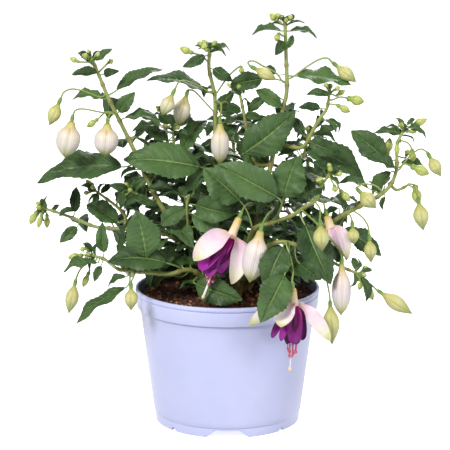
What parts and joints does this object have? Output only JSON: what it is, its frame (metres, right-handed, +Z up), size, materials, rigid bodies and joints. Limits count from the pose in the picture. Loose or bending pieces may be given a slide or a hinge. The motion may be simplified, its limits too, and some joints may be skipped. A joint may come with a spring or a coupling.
{
  "type": "potted fuchsia plant",
  "caption": "Bushy fuchsia with toothed leaves, fat pale buds and hanging white and purple double blooms, in a round pale lavender grower's pot.",
  "frame": {"origin": "centre of the pot's foot, on the surface that the pot stands on", "axes": "+Z up, -Y towards the front, where the two open blooms hang, +X to the right as seen from the front"},
  "size_m": [0.3088, 0.2086, 0.3102],
  "materials": {
    "pot": "satin",
    "soil": "matte",
    "foliage": "satin",
    "bud": "satin",
    "sepal": "satin",
    "petal": "matte",
    "stamen": "satin"
  },
  "bodies": {
    "root": {"pot": "pot", "soil": "soil", "stem_left_tall": "foliage", "stem_centre_left": "foliage", "stem_centre_right": "foliage", "stem_right_far": "foliage", "stem_right_middle": "foliage", "stem_right_low": "foliage", "stem_left_middle": "foliage", "stem_left_low": "foliage", "stem_back_left": "foliage", "stem_back_centre": "foliage", "stem_back_right": "foliage", "stem_back_low_left": "foliage", "stem_back_low_right": "foliage", "bud_left_end": "bud", "bud_left_outer": "bud", "bud_left_inner": "bud", "bud_top_left": "bud", "bud_top_behind": "bud", "bud_centre": "bud", "bud_centre_behind": "bud", "bud_top_yellow": "bud", "bud_top_right": "bud", "bud_front_white": "bud", "bud_right_upper": "bud", "bud_right_low_a": "bud", "bud_right_low_b": "bud", "bud_far_upper": "bud", "bud_far_pair": "bud", "bud_right_white": "bud", "bud_right_green": "bud", "bud_right_low": "bud", "bud_low_end": "bud", "bud_low_left_outer": "bud", "bud_low_left_inner": "bud", "bud_back_left": "bud", "bud_back_right": "bud", "bud_back_low": "bud", "bloom_left_calyx": "sepal", "bloom_left_skirt": "petal", "bloom_left_stamens": "stamen", "bloom_right_calyx": "sepal", "bloom_right_skirt": "petal", "bloom_right_stamens": "stamen", "bloom_half_open_calyx": "sepal", "bloom_half_open_skirt": "petal", "bloom_back_calyx": "sepal", "bloom_back_skirt": "petal", "bloom_back_stamens": "stamen"}
  },
  "joints": []
}
